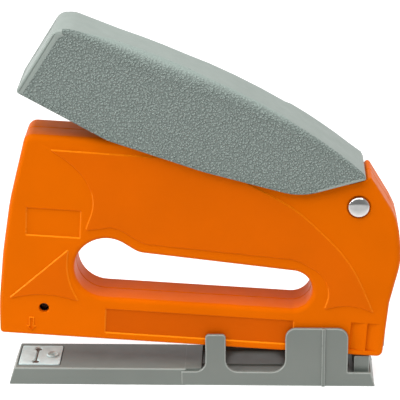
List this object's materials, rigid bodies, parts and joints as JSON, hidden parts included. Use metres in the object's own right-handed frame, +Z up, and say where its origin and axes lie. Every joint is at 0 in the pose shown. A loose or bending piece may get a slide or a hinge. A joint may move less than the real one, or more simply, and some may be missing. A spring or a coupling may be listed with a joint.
{
  "type": "staple gun",
  "caption": "Hand staple gun: two-shell body with finger hole, rear-hinged squeeze handle, and a sprung clip-on stapling base with a steel anvil under the nose.",
  "frame": {"origin": "middle of the whole tool's footprint box, on the flat underside of the stapling base", "axes": "+X from the nose to the handle's pivot, +Y to the tool's right side, +Z up through the handle"},
  "size_m": [0.1606, 0.0276, 0.1495],
  "materials": {
    "body_plastic": "satin orange moulded",
    "handle_plastic": "leather grain grey",
    "base_plastic": "fine matte grey",
    "dark_plastic": "matte",
    "steel": "zinc plated sheet and wire",
    "chrome": "polished"
  },
  "bodies": {
    "base": {"base_cradle": "base_plastic", "anvil_plate": "steel", "anvil_rivet": "steel", "base_spring": "steel"},
    "gun_body": {"left_shell": "body_plastic", "right_shell": "body_plastic", "nose_guide": "steel", "magazine_channel": "steel", "pivot_rivet": "chrome", "lift_pin": "steel", "spring_seat": "dark_plastic", "main_spring": "steel", "front_case_screw": "steel", "case_screw_1": "steel", "case_screw_2": "steel", "case_screw_3": "steel"},
    "lift": {"lift_lever": "steel"},
    "driver": {"driver_blade": "steel", "driver_carrier": "dark_plastic"},
    "magazine": {"feed_rail": "steel", "staple_strip": "steel", "guide_rod": "steel", "magazine_cap": "dark_plastic", "pusher_spring": "steel"},
    "pusher": {"pusher": "dark_plastic"},
    "handle": {"handle_shell": "handle_plastic", "handle_end_cap": "handle_plastic", "handle_lever": "steel", "handle_roller": "steel", "roller_pin": "steel", "pivot_bush": "steel"}
  },
  "joints": [
    {"name": "base_hinge", "type": "hinge", "parent": "base", "child": "gun_body", "pos_m": [0.05017, 0, 0.0196], "axis": [0, -1, 0], "range_deg": [0, 6.5], "stiffness_Nm_per_rad": 0.8, "springref_deg": -22.92, "deforming": ["base_spring"]},
    {"name": "handle_hinge", "type": "hinge", "parent": "gun_body", "child": "handle", "pos_m": [0.0632, 0, 0.077], "axis": [0, -1, 0], "range_deg": [0, 14], "stiffness_Nm_per_rad": 4, "springref_deg": -28.65},
    {"name": "lift_hinge", "type": "hinge", "parent": "gun_body", "child": "lift", "pos_m": [-0.02468, 0, 0.07842], "axis": [0, 1, 0], "range_deg": [0, 24.01]},
    {"name": "driver_slide", "type": "slide", "parent": "gun_body", "child": "driver", "axis": [0.0628, 0, 0.998], "range_m": [0, 0.01415], "deforming": ["main_spring"]},
    {"name": "magazine_slide", "type": "slide", "parent": "gun_body", "child": "magazine", "axis": [0.998, 0, -0.0628], "range_m": [0, 0.075]},
    {"name": "pusher_slide", "type": "slide", "parent": "magazine", "child": "pusher", "axis": [0.998, 0, -0.0628], "range_m": [0, 0.03], "stiffness_N_per_m": 40, "springref_m": -0.03, "deforming": ["pusher_spring"]}
  ],
  "couplings": [
    {"joint": "lift_hinge", "follows": "handle_hinge", "ratio": 1.7143},
    {"joint": "driver_slide", "follows": "handle_hinge", "m_per_rad": 0.0578}
  ]
}
